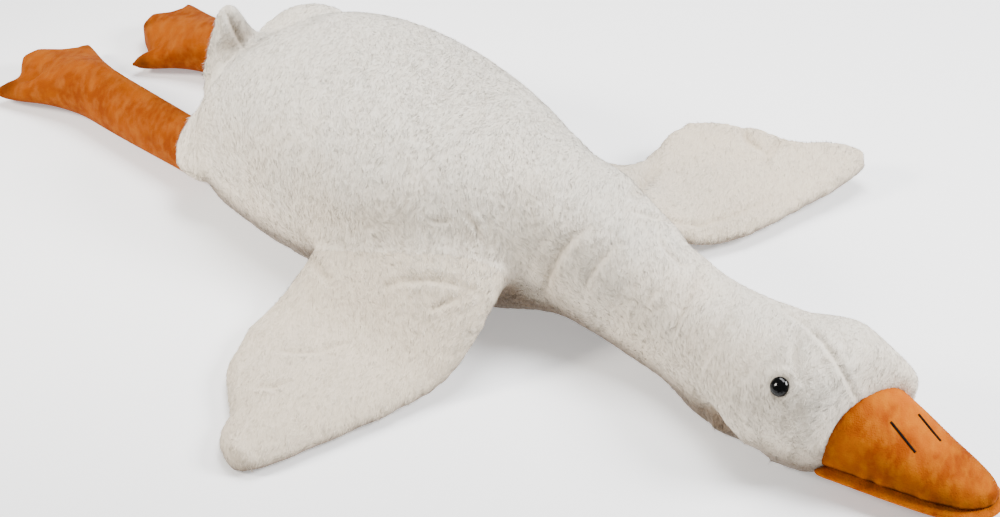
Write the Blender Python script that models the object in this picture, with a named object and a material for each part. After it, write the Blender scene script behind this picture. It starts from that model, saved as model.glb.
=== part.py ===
"""Large plush goose that lies on its belly with its neck, wings and legs stretched out.

Metres, +Z up. The origin is on the floor under the middle of the belly. The goose faces -Y, so
its left side is +X. The torso, neck and head are stuffed covers that meet at their seams.
"""

import math

import bmesh
import bpy
from mathutils import Matrix, Vector

# Clearance between pieces that touch
SEAM_GAP = 0.0003

# Torso: a broad stuffed body, flat where it lies on the floor
TORSO_LENGTH = 0.500
TORSO_WIDTH = 0.322
TORSO_HEIGHT = 0.190
TORSO_FRONT_REACH = 0.24
TORSO_BELLY_SINK = 0.022
TORSO_REAR_SWAY = 0.011

# Neck: from the torso's front seam to the seam behind the eyes
NECK_LENGTH = 0.22
NECK_ROOT_WIDTH = 0.148
NECK_ROOT_HEIGHT = 0.142
NECK_ROOT_LIFT = 0.021
NECK_ROOT_SWAY = 0.005
NECK_WIDTH = 0.114
NECK_HEIGHT = 0.112
NECK_LIFT = 0.006
NECK_BEND = 0.002

# Head: leans forward at the top, and turns a little to the goose's right
HEAD_LENGTH = 0.128
HEAD_WIDTH = 0.160
HEAD_HEIGHT = 0.160
HEAD_SINK = 0.006
HEAD_LEAN = math.radians(28)
HEAD_SWAY = -0.014
HEAD_LIP = 0.004
GUSSET_GROOVE = 0.0022

# Bill: an upper half over a flat lower half
BILL_LENGTH = 0.138
BILL_WIDTH = 0.108
BILL_ROOT_TOP = 0.092
BILL_LEAN = math.radians(2)
BILL_TURN = math.radians(14)
BILL_TURN_REACH = 0.045
BILL_TIP_TOP = 0.040
BILL_LIFT = 0.011
BILL_LOWER_THICKNESS = 0.018
BILL_LOWER_LIP = 0.0015
BILL_TIP_SWAY = -0.006
BILL_BOXINESS = 2.5

# Eyes: a glossy dome on a shank, held by a locking washer inside the head
EYE_RADIUS = 0.0095
EYE_BULGE = 0.0055
EYE_SUNK = 0.0015
EYE_SHANK_RADIUS = 0.0024
EYE_SHANK_LENGTH = 0.016
EYE_WASHER_RADIUS = 0.0085
EYE_WASHER_THICKNESS = 0.002
EYE_WASHER_DEPTH = 0.009
EYE_BACK_FROM_BILL = 0.081
EYE_ANGLE_RIGHT = math.radians(36)
EYE_ANGLE_LEFT = math.radians(14)

# Nostrils: one thick black stitch on each side of the bill
NOSTRIL_LENGTH = 0.032
NOSTRIL_RADIUS = 0.0014
NOSTRIL_FROM_ROOT = 0.035
NOSTRIL_SLANT = 0.007
NOSTRIL_SPREAD = 0.0150
NOSTRIL_STAGGER = 0.003

# Wings: padded flaps sewn to the shoulders, with three feather lobes behind
WING_SPAN_RIGHT = 0.286
WING_SPAN_LEFT = 0.326
WING_CHORD = 0.222
WING_THICKNESS = 0.044
WING_TIP_THICKNESS = 0.026
WING_ROOT_HEIGHT = 0.088
WING_ROOT_Y_RIGHT = -0.100
WING_ROOT_Y_LEFT = -0.115
WING_ROOT_BACK_RIGHT = 0.092
WING_ROOT_BACK_LEFT = 0.000
WING_SEAT_DEPTH = 0.045
WING_LOBE_BULGE = 0.012
WING_SWEEP_RIGHT = math.radians(2)
WING_SWEEP_LEFT = math.radians(28)
WING_CURL_RIGHT = 0.0
WING_CURL_LEFT = 0.040
WING_TIP_LIFT_LEFT = 0.020

# Tail: a padded fan of three lobes over the rump, the middle one curled up
TAIL_REACH = 0.188
TAIL_REACH_RIGHT = 0.184
TAIL_HUB_RADIUS = 0.030
TAIL_SEAT_DEPTH = 0.140
TAIL_SPREAD = math.radians(57)
TAIL_THICKNESS = 0.030
TAIL_HEIGHT = 0.098
TAIL_LOBE_NOTCH = 0.022
TAIL_TURN = math.radians(-8)
TAIL_PEAK_LIFT = 0.095
TAIL_DROP_RIGHT = 0.042
TAIL_DROP_LEFT = -0.040

# Legs: stuffed tubes that end in flat webbed feet
LEG_RADIUS = 0.028
ANKLE_RADIUS = 0.031
ANKLE_HEIGHT = 0.034
LEG_SPREAD = 0.097
LEG_ROOT_HEIGHT = 0.041
LEG_SEAT_DEPTH = 0.080
LEG_REACH_RIGHT = 0.172
LEG_REACH_LEFT = 0.126
FOOT_LENGTH = 0.164
FOOT_WIDTH = 0.148
FOOT_THICKNESS = 0.046
FOOT_TOE_THICKNESS = 0.032
FOOT_WEB_DIP = 0.030
FOOT_SIDE_TOE_BACK = 0.036
FOOT_TURN_RIGHT = math.radians(3)
FOOT_TURN_LEFT = math.radians(20)
LEG_TURN_RIGHT = math.radians(4)
LEG_TURN_LEFT = math.radians(-3)

# Mesh fineness
TORSO_RINGS = 26
NECK_RINGS = 22
HEAD_RINGS = 18
BILL_RINGS = 13
WING_RINGS = 26
TAIL_RINGS = 28
LEG_RINGS = 22
COVER_SIDES = 32
BILL_SIDES = 24
WING_SIDES = 20
TAIL_SIDES = 14
LEG_SIDES = 24
TURNED_SIDES = 16

TORSO_FRONT_Y = -TORSO_FRONT_REACH
TORSO_REAR_Y = TORSO_LENGTH - TORSO_FRONT_REACH
TAIL_HUB_Y = TORSO_REAR_Y - TAIL_SEAT_DEPTH
NECK_FRONT_Y = TORSO_FRONT_Y - NECK_LENGTH
HEAD_FRONT_Y = NECK_FRONT_Y - HEAD_LENGTH
BILL_TIP_Y = HEAD_FRONT_Y - BILL_LENGTH
BILL_PARTING = BILL_LIFT + BILL_LOWER_THICKNESS
BILL_ROOT_MIDDLE = (BILL_ROOT_TOP + BILL_LIFT) / 2


def clear_scene():
    for old in list(bpy.data.objects):
        bpy.data.objects.remove(old, do_unlink=True)


def make_material(name, colour, roughness, metallic=0.0):
    material = bpy.data.materials.new(name)
    material.use_nodes = True
    shader = material.node_tree.nodes["Principled BSDF"]
    shader.inputs["Base Color"].default_value = (*colour, 1.0)
    shader.inputs["Roughness"].default_value = roughness
    shader.inputs["Metallic"].default_value = metallic
    return material


def add_object(name, bm, material, is_cutter=False):
    """Makes an object from a bmesh, smooth shaded, with its faces pointing out."""
    bmesh.ops.recalc_face_normals(bm, faces=bm.faces)
    mesh = bpy.data.meshes.new(name)
    bm.to_mesh(mesh)
    bm.free()
    mesh.shade_smooth()
    mesh.set_sharp_from_angle(angle=math.radians(50))
    obj = bpy.data.objects.new(name, mesh)
    bpy.context.collection.objects.link(obj)
    if is_cutter:
        obj.hide_render = True
        obj.display_type = "WIRE"
    else:
        mesh.materials.append(material)
    return obj


def cut(obj, cutter):
    modifier = obj.modifiers.new(cutter.name, "BOOLEAN")
    modifier.operation = "DIFFERENCE"
    modifier.solver = "EXACT"
    modifier.object = cutter


def loft(rings):
    """Skins a list of rings, closes both ends and splits every face the same way."""
    bm = bmesh.new()
    rows = [[bm.verts.new(point) for point in ring] for ring in rings]
    sides = len(rows[0])
    for row, following in zip(rows, rows[1:]):
        for i in range(sides):
            j = (i + 1) % sides
            bm.faces.new((row[i], row[j], following[j], following[i]))
    close_end(bm, rows[0])
    close_end(bm, rows[-1])
    bmesh.ops.triangulate(bm, faces=bm.faces[:], quad_method="FIXED")
    return bm


def close_end(bm, row):
    """Closes a ring with a strip of quads from its upper half to its lower half."""
    last = len(row) - 1
    for i in range(len(row) // 2 - 1):
        bm.faces.new((row[i], row[i + 1], row[last - i - 1], row[last - i]))


def lerp(a, b, t):
    return a + (b - a) * t


def smooth_step(t):
    t = min(max(t, 0.0), 1.0)
    return t * t * (3 - 2 * t)


def bump(x, centre, width):
    return math.exp(-(((x - centre) / width) ** 2))


def curve_at(stations, t):
    """Reads a smooth curve through stations (t, value, value, ...) at t."""
    t = min(max(t, stations[0][0]), stations[-1][0])
    last = len(stations) - 2
    k = max(i for i in range(last + 1) if stations[i][0] <= t)
    before = stations[max(k - 1, 0)]
    start, end = stations[k], stations[k + 1]
    after = stations[min(k + 2, last + 1)]
    span = end[0] - start[0]
    s = (t - start[0]) / span
    values = []
    for column in range(1, len(start)):
        slope_in = (end[column] - before[column]) / (end[0] - before[0])
        slope_out = (after[column] - start[column]) / (after[0] - start[0])
        h1 = (1 + 2 * s) * (1 - s) ** 2 * start[column]
        h2 = s * (1 - s) ** 2 * span * slope_in
        h3 = s * s * (3 - 2 * s) * end[column]
        h4 = s * s * (s - 1) * span * slope_out
        values.append(h1 + h2 + h3 + h4)
    return values


def rounded(angle, power):
    """A point on a unit superellipse at this angle."""
    c, s = math.cos(angle), math.sin(angle)
    x = math.copysign(abs(c) ** (2 / power), c)
    z = math.copysign(abs(s) ** (2 / power), s)
    return x, z


# The stuffed cover: torso, neck and head follow one spine.
# A station is (y, side, middle height, half width, half height, lean).


def torso_stations():
    """Stations of the torso from the rump to the chest, as shares of its sizes."""
    shares = (
        (0.00, 0.20, 0.49, -2.70),
        (0.012, 0.46, 0.60, -1.70),
        (0.04, 0.68, 0.74, -0.40),
        (0.085, 0.82, 0.86, 0.5),
        (0.16, 0.91, 0.95, 1.0),
        (0.28, 0.98, 1.00, 1.0),
        (0.42, 1.00, 0.99, 1.0),
        (0.56, 0.95, 0.96, 1.0),
        (0.70, 0.81, 0.93, 0.6),
        (0.84, 0.62, 0.90, 0.0),
    )
    stations = []
    for along, wide, tall, sunk in shares:
        top = TORSO_HEIGHT * tall
        bottom = -TORSO_BELLY_SINK * sunk
        half_height = (top - bottom) / 2
        y = lerp(TORSO_REAR_Y, TORSO_FRONT_Y, along)
        half_width = TORSO_WIDTH / 2 * wide
        side = TORSO_REAR_SWAY * smooth_step(1.15 - along)
        stations.append((y, side, top - half_height, half_width, half_height, 0.0))
    return stations


def neck_and_head_stations():
    neck_root_middle = NECK_ROOT_LIFT + NECK_ROOT_HEIGHT / 2
    neck_middle = NECK_LIFT + NECK_HEIGHT / 2
    head_half = HEAD_HEIGHT / 2
    head_middle = head_half * math.cos(HEAD_LEAN) - HEAD_SINK
    root_half = (BILL_ROOT_TOP - BILL_LIFT) / 2 / math.cos(BILL_LEAN)
    slim_y = lerp(TORSO_FRONT_Y, NECK_FRONT_Y, 0.50)
    nape_y = lerp(TORSO_FRONT_Y, NECK_FRONT_Y, 0.76)
    cheek_y = lerp(NECK_FRONT_Y, HEAD_FRONT_Y, 0.35)
    brow_y = lerp(NECK_FRONT_Y, HEAD_FRONT_Y, 0.72)
    return [
        (TORSO_FRONT_Y, NECK_ROOT_SWAY, neck_root_middle, NECK_ROOT_WIDTH / 2, NECK_ROOT_HEIGHT / 2, 0.0),
        (slim_y, NECK_BEND, neck_middle, NECK_WIDTH / 2, NECK_HEIGHT / 2, HEAD_LEAN * 0.45),
        (nape_y, lerp(NECK_BEND, HEAD_SWAY, 0.5), neck_middle, NECK_WIDTH / 2, NECK_HEIGHT / 2 * 1.02,
         HEAD_LEAN * 0.8),
        (NECK_FRONT_Y, HEAD_SWAY, head_middle * 0.95, HEAD_WIDTH / 2 * 0.87, head_half * 0.88, HEAD_LEAN),
        (cheek_y, HEAD_SWAY, head_middle, HEAD_WIDTH / 2, head_half, HEAD_LEAN),
        (brow_y, HEAD_SWAY, head_middle * 0.97, HEAD_WIDTH / 2 * 0.93, head_half * 0.88,
         lerp(HEAD_LEAN, BILL_LEAN, 0.30)),
        (HEAD_FRONT_Y + 0.012, HEAD_SWAY, lerp(head_middle, BILL_ROOT_MIDDLE, 0.6),
         lerp(HEAD_WIDTH, BILL_WIDTH, 0.45) / 2, lerp(head_half, root_half, 0.6),
         lerp(HEAD_LEAN, BILL_LEAN, 0.7)),
        (HEAD_FRONT_Y, HEAD_SWAY, BILL_ROOT_MIDDLE,
         BILL_WIDTH / 2 + HEAD_LIP, root_half + HEAD_LIP, BILL_LEAN),
    ]


def spine_at(y):
    stations = [(-s[0], *s[1:]) for s in torso_stations() + neck_and_head_stations()]
    return curve_at(stations, -y)


# Folds and seams pressed into the cover: (y, angle round the ring in degrees, half width along,
# half width round, depth, slant). An angle of 90 is the top, 180 is the goose's right side.
COVER_FOLDS = (
    (TORSO_FRONT_Y + 0.004, 190, 0.009, 48, 0.006, 0.010),
    (TORSO_FRONT_Y + 0.004, -10, 0.009, 48, 0.006, 0.010),
    (TORSO_FRONT_Y - 0.040, 165, 0.007, 50, 0.004, 0.016),
    (TORSO_FRONT_Y - 0.040, 15, 0.007, 50, 0.004, 0.016),
    (TORSO_FRONT_Y - 0.085, 150, 0.008, 60, 0.0035, 0.012),
    (TORSO_FRONT_Y - 0.085, 40, 0.008, 50, 0.0035, 0.012),
    (TORSO_FRONT_Y - 0.128, 120, 0.008, 60, 0.003, 0.010),
    (TORSO_FRONT_Y + 0.050, 145, 0.010, 32, 0.005, -0.020),
    (TORSO_FRONT_Y + 0.050, 35, 0.010, 32, 0.005, -0.020),
    (NECK_FRONT_Y, 90, 0.006, 180, 0.002, 0.0),
)


def fold_depth(y, angle):
    """How far the cover is pressed in at this place."""
    depth = 0.0
    for fold_y, at, along, around, deep, slant in COVER_FOLDS:
        turn = (math.degrees(angle) - at + 180) % 360 - 180
        line = fold_y + slant * turn / 45
        depth += deep * bump(y, line, along) * bump(turn, 0, around)
    return depth


def gusset_depth(y, angle):
    """Two seams that fan out from the crown to the corners of the bill."""
    along = (NECK_FRONT_Y - 0.035 - y) / (HEAD_LENGTH - 0.035)
    if along < 0:
        return 0.0
    spread = math.radians(6 + 44 * along)
    width = math.radians(6)
    depth = 0.0
    for side in (-1, 1):
        depth += GUSSET_GROOVE * bump(angle, math.pi / 2 + side * spread, width)
    return depth * smooth_step(along * 6)


def bill_seam_turn(y):
    """How far forward the cover is drawn per metre to the left, close to the bill."""
    return math.tan(BILL_TURN) * smooth_step(1 - (y - HEAD_FRONT_Y) / BILL_TURN_REACH)


def cover_point(y, angle, grow=0.0):
    """A point on the cover, pushed out by grow, and never below the floor."""
    side, middle, half_width, half_height, lean = spine_at(y)
    press = fold_depth(y, angle) + gusset_depth(y, angle)
    across, upward = rounded(angle, 2.25 if math.sin(angle) > 0 else 2.7)
    x = across * (half_width + grow - press)
    up = upward * (half_height + grow - press)
    floor = -middle / math.cos(lean) - grow
    up = max(up, floor)
    forward = y - up * math.sin(lean) - x * bill_seam_turn(y)
    return Vector((side + x, forward, middle + up * math.cos(lean)))


def ring_angles(sides):
    return [2 * math.pi * (i + 0.5) / sides for i in range(sides)]


def cover_rings(start_y, end_y, count, grow=0.0):
    rings = []
    for i in range(count):
        y = lerp(start_y, end_y, i / (count - 1))
        rings.append([cover_point(y, angle, grow) for angle in ring_angles(COVER_SIDES)])
    return rings


def torso_rings(grow=0.0):
    """Rings of the torso, closer together where the rump rounds over."""
    rings = []
    for i in range(TORSO_RINGS):
        share = (i / (TORSO_RINGS - 1)) ** 1.35
        y = lerp(TORSO_REAR_Y, TORSO_FRONT_Y, share)
        ring = [cover_point(y, angle, grow) for angle in ring_angles(COVER_SIDES)]
        shift = grow if i == 0 else -grow if i == TORSO_RINGS - 1 else 0.0
        rings.append([point + Vector((0, shift, 0)) for point in ring])
    return rings


def make_torso(material):
    return add_object("torso", loft(torso_rings()), material)


def make_cover_envelope():
    """Torso and neck grown by the clearance: it trims everything that is sewn to them."""
    rings = torso_rings(SEAM_GAP)[:-1] + cover_rings(TORSO_FRONT_Y, NECK_FRONT_Y, NECK_RINGS, SEAM_GAP)
    return add_object("cover_envelope", loft(rings), None, is_cutter=True)


def make_neck(material):
    rings = cover_rings(TORSO_FRONT_Y - SEAM_GAP, NECK_FRONT_Y, NECK_RINGS)
    return add_object("neck", loft(rings), material)


def make_head(material):
    rings = cover_rings(NECK_FRONT_Y - SEAM_GAP, HEAD_FRONT_Y, HEAD_RINGS)
    return add_object("head", loft(rings), material)


# Bill


def bill_station(share):
    """Side, half width and top of the bill at a share of its length from the root."""
    wide, tall = curve_at(
        ((0.0, 0.98, 1.0), (0.25, 0.88, 0.74), (0.5, 0.77, 0.44), (0.75, 0.62, 0.20),
         (0.92, 0.41, 0.06), (1.0, 0.14, 0.0)), share)
    side = lerp(HEAD_SWAY, BILL_TIP_SWAY, share)
    top = lerp(BILL_TIP_TOP, BILL_ROOT_TOP, tall)
    return side, BILL_WIDTH / 2 * wide, top


def bill_point(share, x, z):
    """A point of the bill, on its leaning and turned ring, at a sideways place and a height."""
    side, _, _ = bill_station(share)
    root_y = HEAD_FRONT_Y - SEAM_GAP / math.cos(BILL_LEAN) / math.cos(BILL_TURN)
    straight = 1 - smooth_step(share * 1.3)
    forward = (z - BILL_ROOT_MIDDLE) * math.tan(BILL_LEAN) + x * math.tan(BILL_TURN)
    return Vector((side + x, lerp(root_y, BILL_TIP_Y, share) - forward * straight, z))


def bill_upper_height(share, angle):
    _, _, top = bill_station(share)
    return (top - BILL_PARTING - SEAM_GAP) * max(rounded(angle, BILL_BOXINESS)[1], 0.0)


def make_bill_upper(material):
    rings = []
    for i in range(BILL_RINGS):
        share = 1 - (1 - i / (BILL_RINGS - 1)) ** 1.4
        _, half_width, _ = bill_station(share)
        ring = []
        for angle in ring_angles(BILL_SIDES):
            x = half_width * rounded(angle, BILL_BOXINESS)[0]
            z = BILL_PARTING + SEAM_GAP + bill_upper_height(share, angle)
            ring.append(bill_point(share, x, z))
        rings.append(ring)
    return add_object("bill_upper", loft(rings), material)


def make_bill_lower(material):
    rings = []
    for i in range(BILL_RINGS):
        share = 1 - (1 - i / (BILL_RINGS - 1)) ** 1.4
        _, half_width, _ = bill_station(share)
        ring = []
        for angle in ring_angles(BILL_SIDES):
            across, upward = rounded(angle, 3.2)
            x = (half_width + BILL_LOWER_LIP) * across
            z = BILL_LIFT + BILL_LOWER_THICKNESS * (1 + upward) / 2
            ring.append(bill_point(share, x, z))
        rings.append(ring)
    return add_object("bill_lower", loft(rings), material)


def nostril_path(side_sign):
    """Points along one stitch on top of the bill."""
    points = []
    for i in range(6):
        from_root = NOSTRIL_FROM_ROOT + side_sign * NOSTRIL_STAGGER
        along = (from_root + NOSTRIL_LENGTH * i / 5) / BILL_LENGTH
        _, half_width, _ = bill_station(along)
        x = side_sign * NOSTRIL_SPREAD + NOSTRIL_SLANT * (0.5 - i / 5)
        angle = math.acos(min(abs(x) / half_width, 1.0) ** (BILL_BOXINESS / 2))
        z = BILL_PARTING + SEAM_GAP + bill_upper_height(along, angle)
        points.append(bill_point(along, x, z))
    return points


def tube(points, radius, sides):
    """A round rod along points, with flat ends."""
    rings = []
    for i, point in enumerate(points):
        ahead = points[min(i + 1, len(points) - 1)] - points[max(i - 1, 0)]
        forward = ahead.normalized()
        across = forward.cross(Vector((0, 0, 1))).normalized()
        upward = across.cross(forward)
        ring = []
        for angle in ring_angles(sides):
            ring.append(point + across * radius * math.cos(angle) + upward * radius * math.sin(angle))
        rings.append(ring)
    return loft(rings)


def lengthen(points, extra):
    first = points[0] + (points[0] - points[1]).normalized() * extra
    last = points[-1] + (points[-1] - points[-2]).normalized() * extra
    return [first, *points[1:-1], last]


def make_nostrils(bill_upper, material):
    for label, side_sign in (("right", -1), ("left", 1)):
        path = nostril_path(side_sign)
        add_object("nostril_stitch_" + label, tube(path, NOSTRIL_RADIUS, 8), material)
        groove = tube(lengthen(path, SEAM_GAP), NOSTRIL_RADIUS + SEAM_GAP * 1.3, 8)
        cut(bill_upper, add_object("nostril_groove_" + label, groove, None, is_cutter=True))


# Eyes


def turned(profile, placement):
    """Turns a profile of (radius, height) pairs about Z and places it."""
    rings = []
    for radius, height in profile:
        ring = []
        for angle in ring_angles(TURNED_SIDES):
            ring.append(placement @ Vector((radius * math.cos(angle), radius * math.sin(angle), height)))
        rings.append(ring)
    return loft(rings)


def eye_profile(grow):
    """Dome, flat back and shank, from the top of the dome to the end of the shank."""
    profile = []
    for i in range(7):
        angle = math.pi / 2 * (1 - i / 6)
        radius = (EYE_RADIUS + grow) * max(math.cos(angle), 0.06)
        profile.append((radius, (EYE_BULGE + grow) * math.sin(angle)))
    profile.append((EYE_RADIUS + grow, -EYE_SUNK - grow))
    profile.append((EYE_SHANK_RADIUS + grow, -EYE_SUNK - grow))
    return profile


def eye_placement(side_sign):
    """Puts Z along the head's surface normal at the eye."""
    y = HEAD_FRONT_Y + EYE_BACK_FROM_BILL
    angle = EYE_ANGLE_LEFT if side_sign > 0 else math.pi - EYE_ANGLE_RIGHT
    here = cover_point(y, angle)
    along = cover_point(y - 0.004, angle) - cover_point(y + 0.004, angle)
    around = cover_point(y, angle + 0.05) - cover_point(y, angle - 0.05)
    normal = along.cross(around).normalized()
    if normal.x * side_sign < 0:
        normal.negate()
    turn = normal.to_track_quat("Z", "Y").to_matrix().to_4x4()
    return Matrix.Translation(here) @ turn


def make_eyes(head, eye_material, washer_material):
    washer_top = -EYE_SUNK - EYE_WASHER_DEPTH
    washer_bottom = washer_top - EYE_WASHER_THICKNESS
    shank_end = -EYE_SUNK - EYE_SHANK_LENGTH
    for label, side_sign in (("right", -1), ("left", 1)):
        place = eye_placement(side_sign)
        body = eye_profile(0.0) + [(EYE_SHANK_RADIUS, shank_end)]
        add_object("eye_" + label, turned(body, place), eye_material)
        bore = EYE_SHANK_RADIUS + SEAM_GAP
        pocket = EYE_WASHER_RADIUS + SEAM_GAP
        hollow = eye_profile(SEAM_GAP) + [
            (bore, washer_top + SEAM_GAP),
            (pocket, washer_top + SEAM_GAP),
            (pocket, washer_bottom - SEAM_GAP),
            (bore, washer_bottom - SEAM_GAP),
            (bore, shank_end - SEAM_GAP),
        ]
        cut(head, add_object("eye_pocket_" + label, turned(hollow, place), None, is_cutter=True))
        add_object("eye_washer_" + label, washer(bore, washer_top, washer_bottom, place), washer_material)


def washer(bore, top, bottom, placement):
    """A flat ring round the shank."""
    bm = bmesh.new()
    profile = ((bore, top), (EYE_WASHER_RADIUS, top), (EYE_WASHER_RADIUS, bottom), (bore, bottom))
    columns = []
    for angle in ring_angles(TURNED_SIDES):
        column = []
        for radius, height in profile:
            point = Vector((radius * math.cos(angle), radius * math.sin(angle), height))
            column.append(bm.verts.new(placement @ point))
        columns.append(column)
    for i, column in enumerate(columns):
        following = columns[(i + 1) % TURNED_SIDES]
        for j in range(4):
            k = (j + 1) % 4
            bm.faces.new((column[j], column[k], following[k], following[j]))
    return bm


# Wings


def wing_outline(share, root_back):
    """Front and back edge of the wing, from its middle line, at a share of its span."""
    root = root_back / (WING_CHORD / 2)
    shoulder = lerp(-0.90, -1.13, root)
    front, back = curve_at(
        ((0.0, shoulder + 0.12, root), (0.27, shoulder, lerp(root, 0.88, 0.15)), (0.54, -0.91, 0.84),
         (0.69, -0.76, 0.62), (0.82, -0.63, 0.22), (0.92, -0.51, -0.03), (1.0, -0.37, -0.20)), share)
    bulge = 0.0
    for start, end in ((0.0, 0.62), (0.62, 0.85), (0.85, 1.0)):
        if start <= share < end:
            within = (share - start) / (end - start)
            bulge = WING_LOBE_BULGE * math.sqrt(math.sin(math.pi * within))
    return front * WING_CHORD / 2, back * WING_CHORD / 2 + bulge


def wing_rings(side_sign, root_y, root_back, span, sweep, curl, tip_lift):
    shoulder_x = TORSO_WIDTH / 2 * 0.80 - WING_SEAT_DEPTH
    rings = []
    for i in range(WING_RINGS):
        share = i / (WING_RINGS - 1)
        share = 1 - (1 - share) ** 1.35
        front, back = wing_outline(share, root_back)
        thickness = lerp(WING_THICKNESS, WING_TIP_THICKNESS, share)
        drop = smooth_step(share / 0.45)
        middle = lerp(WING_ROOT_HEIGHT, thickness / 2, drop) + tip_lift * share ** 3
        reach = (span + WING_SEAT_DEPTH) * share
        ring = []
        for angle in ring_angles(WING_SIDES):
            across, upward = rounded(angle, 2.1)
            lift = curl * smooth_step(share * 1.5) * (back - front) / WING_CHORD * max(across, 0.0) ** 2
            v = lerp(front, back, (across + 1) / 2) - 0.6 * lift
            z = max(middle + lift + upward * thickness / 2, 0.0)
            x = reach * math.cos(sweep) + v * math.sin(sweep)
            y = -reach * math.sin(sweep) + v * math.cos(sweep)
            ring.append(Vector((side_sign * (shoulder_x + x), root_y + y, z)))
        rings.append(ring)
    return rings


def make_wings(envelope, material):
    right = wing_rings(
        -1, WING_ROOT_Y_RIGHT, WING_ROOT_BACK_RIGHT, WING_SPAN_RIGHT, WING_SWEEP_RIGHT, WING_CURL_RIGHT, 0.0)
    left = wing_rings(
        1, WING_ROOT_Y_LEFT, WING_ROOT_BACK_LEFT, WING_SPAN_LEFT, WING_SWEEP_LEFT, WING_CURL_LEFT,
        WING_TIP_LIFT_LEFT)
    for name, rings in (("wing_right", right), ("wing_left", left)):
        cut(add_object(name, loft(rings), material), envelope)


# Tail


def tail_reach(turn):
    """How far the fan reaches at this angle from straight back: three round lobes."""
    phase = turn / TAIL_SPREAD * 1.5
    lobe = abs(math.cos(math.pi * phase)) ** 0.7
    reach = lerp(TAIL_REACH, TAIL_REACH_RIGHT, smooth_step(-turn / TAIL_SPREAD * 2))
    return reach - TAIL_LOBE_NOTCH * (1 - lobe)


def tail_rings():
    """Radial sections of the fan, from its right edge round to its left."""
    rings = []
    for i in range(TAIL_RINGS):
        turn = lerp(-TAIL_SPREAD, TAIL_SPREAD, i / (TAIL_RINGS - 1))
        reach = tail_reach(turn)
        peak = bump(turn, 0.0, TAIL_SPREAD * 0.24)
        heading = turn + TAIL_TURN
        ring = []
        for angle in ring_angles(TAIL_SIDES):
            across, upward = rounded(angle, 2.1)
            share = (across + 1) / 2
            distance = lerp(TAIL_HUB_RADIUS, reach, share)
            lift = TAIL_PEAK_LIFT * peak * smooth_step((share - 0.45) / 0.55)
            distance -= 0.35 * lift
            aside = smooth_step(abs(turn / TAIL_SPREAD) * 1.3) * share
            drop = (TAIL_DROP_RIGHT if turn < 0 else TAIL_DROP_LEFT) * aside
            z = TAIL_HEIGHT + lift - drop + upward * TAIL_THICKNESS / 2
            x = distance * math.sin(heading)
            ring.append(Vector((x, TAIL_HUB_Y + distance * math.cos(heading), z)))
        rings.append(ring)
    return rings


def make_tail(envelope, material):
    tail = add_object("tail", loft(tail_rings()), material)
    cut(tail, envelope)
    return tail


# Legs


def leg_rings(side_sign, reach, turn, foot_turn, grow=0.0):
    """A tube that goes from inside the rump to the ankle, then flattens into a webbed foot."""
    root = Vector((side_sign * LEG_SPREAD, TORSO_REAR_Y - LEG_SEAT_DEPTH, LEG_ROOT_HEIGHT))
    ahead = Vector((math.sin(turn), math.cos(turn), 0))
    across = Vector((math.cos(turn), -math.sin(turn), 0))
    tube_length = LEG_SEAT_DEPTH + reach
    rings = []
    for i in range(LEG_RINGS):
        share = 1 - (1 - i / (LEG_RINGS - 1)) ** 1.3
        distance = (tube_length + FOOT_LENGTH) * share
        on_foot = min(max((distance - tube_length) / FOOT_LENGTH, 0.0), 1.0)
        along_tube = smooth_step(distance / tube_length)
        radius = lerp(LEG_RADIUS, ANKLE_RADIUS, along_tube)
        flat = lerp(FOOT_THICKNESS, FOOT_TOE_THICKNESS, on_foot ** 2) / 2
        half_width = lerp(radius, FOOT_WIDTH / 2, lerp(on_foot, smooth_step(on_foot), 0.5)) + grow
        half_height = lerp(radius, flat, smooth_step(on_foot * 1.5)) + grow
        middle = lerp(lerp(LEG_ROOT_HEIGHT, ANKLE_HEIGHT, along_tube), flat, smooth_step(on_foot * 1.2))
        ring = []
        for angle in ring_angles(LEG_SIDES):
            sideways, upward = rounded(angle, 2.2)
            behind = (foot_edge(sideways) - FOOT_WIDTH / 2 * sideways * math.sin(foot_turn)) * on_foot ** 1.5
            place = root + ahead * (distance - behind) + across * sideways * half_width
            place.z = max(middle + upward * half_height, 0.0)
            ring.append(place)
        rings.append(ring)
    return rings


def foot_edge(sideways):
    """How far the foot's front edge lies behind the middle toe: two dips between three toes."""
    web = abs(math.sin(math.pi * sideways)) ** 0.8
    return FOOT_WEB_DIP * web + FOOT_SIDE_TOE_BACK * abs(sideways) ** 1.5


def make_legs(envelope, material):
    right = leg_rings(-1, LEG_REACH_RIGHT, LEG_TURN_RIGHT, FOOT_TURN_RIGHT)
    left = leg_rings(1, LEG_REACH_LEFT, LEG_TURN_LEFT, FOOT_TURN_LEFT)
    for name, rings in (("leg_right", right), ("leg_left", left)):
        cut(add_object(name, loft(rings), material), envelope)


def trim_tail_over_legs(tail):
    """The tail lies over the legs, so each leg grown by the clearance is cut from its underside."""
    right = leg_rings(-1, LEG_REACH_RIGHT, LEG_TURN_RIGHT, FOOT_TURN_RIGHT, SEAM_GAP)
    left = leg_rings(1, LEG_REACH_LEFT, LEG_TURN_LEFT, FOOT_TURN_LEFT, SEAM_GAP)
    for name, rings in (("leg_envelope_right", right), ("leg_envelope_left", left)):
        cut(tail, add_object(name, loft(rings), None, is_cutter=True))


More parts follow.
